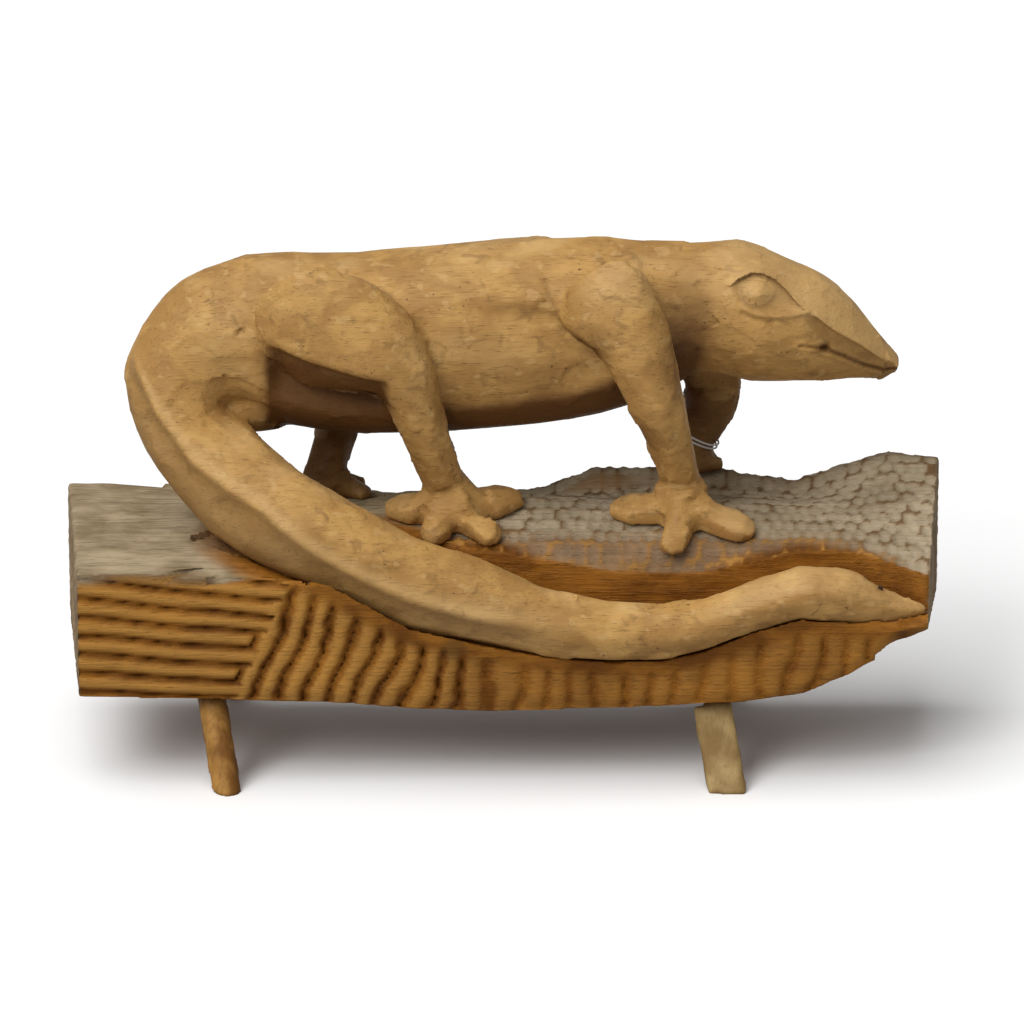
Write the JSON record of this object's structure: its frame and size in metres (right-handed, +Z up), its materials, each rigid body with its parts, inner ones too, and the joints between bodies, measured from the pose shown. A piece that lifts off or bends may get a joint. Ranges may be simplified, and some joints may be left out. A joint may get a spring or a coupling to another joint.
{
  "type": "carved wooden lizard figure",
  "caption": "Carved natural-wood lizard standing on a gouged log with its tail in a carved channel, raised on splayed pegs.",
  "frame": {"origin": "centre of the footprint box on the floor, under the pegs' level feet", "axes": "+X along the log towards the lizard's head, +Y to the back, +Z up"},
  "size_m": [0.4432, 0.1522, 0.261],
  "materials": {
    "log_wood": "hand carved, waxed front and weathered grey top",
    "lizard_wood": "hand carved, lightly waxed",
    "peg_wood": "whittled",
    "dowel_wood": "raw",
    "nail_steel": "dull, rusted",
    "thread": "twisted cotton"
  },
  "bodies": {
    "root": {"log_base": "log_wood", "peg_front_left": "peg_wood", "peg_front_right": "peg_wood", "peg_back_left": "peg_wood", "peg_back_right": "peg_wood", "lizard_body": "lizard_wood", "tail": "lizard_wood", "leg_front_near": "lizard_wood", "leg_rear_near": "lizard_wood", "leg_front_far": "lizard_wood", "leg_rear_far": "lizard_wood", "hip_dowel_front_near": "dowel_wood", "hip_dowel_rear_near": "dowel_wood", "hip_dowel_front_far": "dowel_wood", "hip_dowel_rear_far": "dowel_wood", "foot_dowel_front_near": "dowel_wood", "foot_dowel_rear_near": "dowel_wood", "foot_dowel_front_far": "dowel_wood", "foot_dowel_rear_far": "dowel_wood", "tail_dowel": "dowel_wood", "tail_nail": "nail_steel", "ankle_thread": "thread"}
  },
  "joints": []
}
